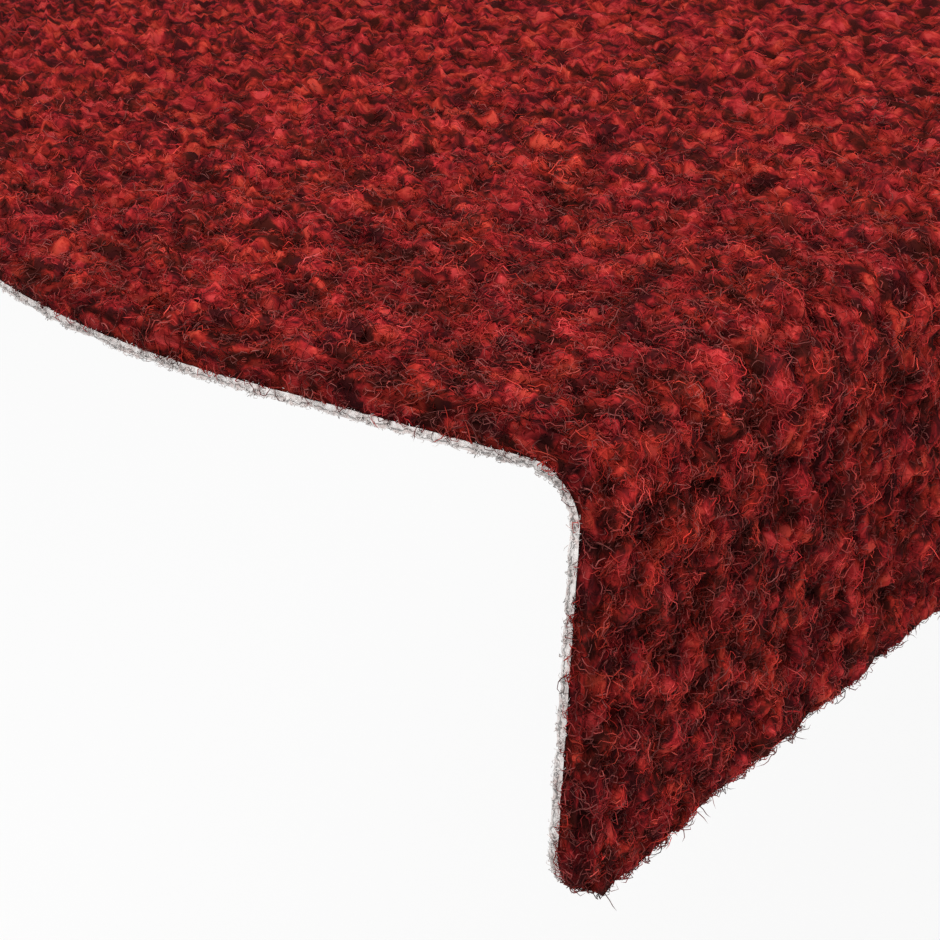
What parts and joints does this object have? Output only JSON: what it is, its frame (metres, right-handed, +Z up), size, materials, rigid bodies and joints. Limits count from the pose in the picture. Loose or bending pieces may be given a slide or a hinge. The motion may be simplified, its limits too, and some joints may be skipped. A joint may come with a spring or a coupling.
{
  "type": "stair tread mat",
  "caption": "Half-moon needle-felt stair tread mat with a pale backing and a front edge folded down over the nose of the step.",
  "frame": {"origin": "on the flat underside of the tread, midway along the mat and midway through its depth", "axes": "+X along the step, +Y back into the step, +Z up; the lip hangs down at the -Y side"},
  "size_m": [0.65, 0.21, 0.04],
  "materials": {
    "pile_felt": "matte needle-punched felt, heathered in crimson, red and near-black maroon",
    "backing_latex": "matte pale grey latex with whitish fibres showing at the cut edge"
  },
  "bodies": {
    "root": {"carpet_pile": "pile_felt", "backing": "backing_latex"}
  },
  "joints": []
}
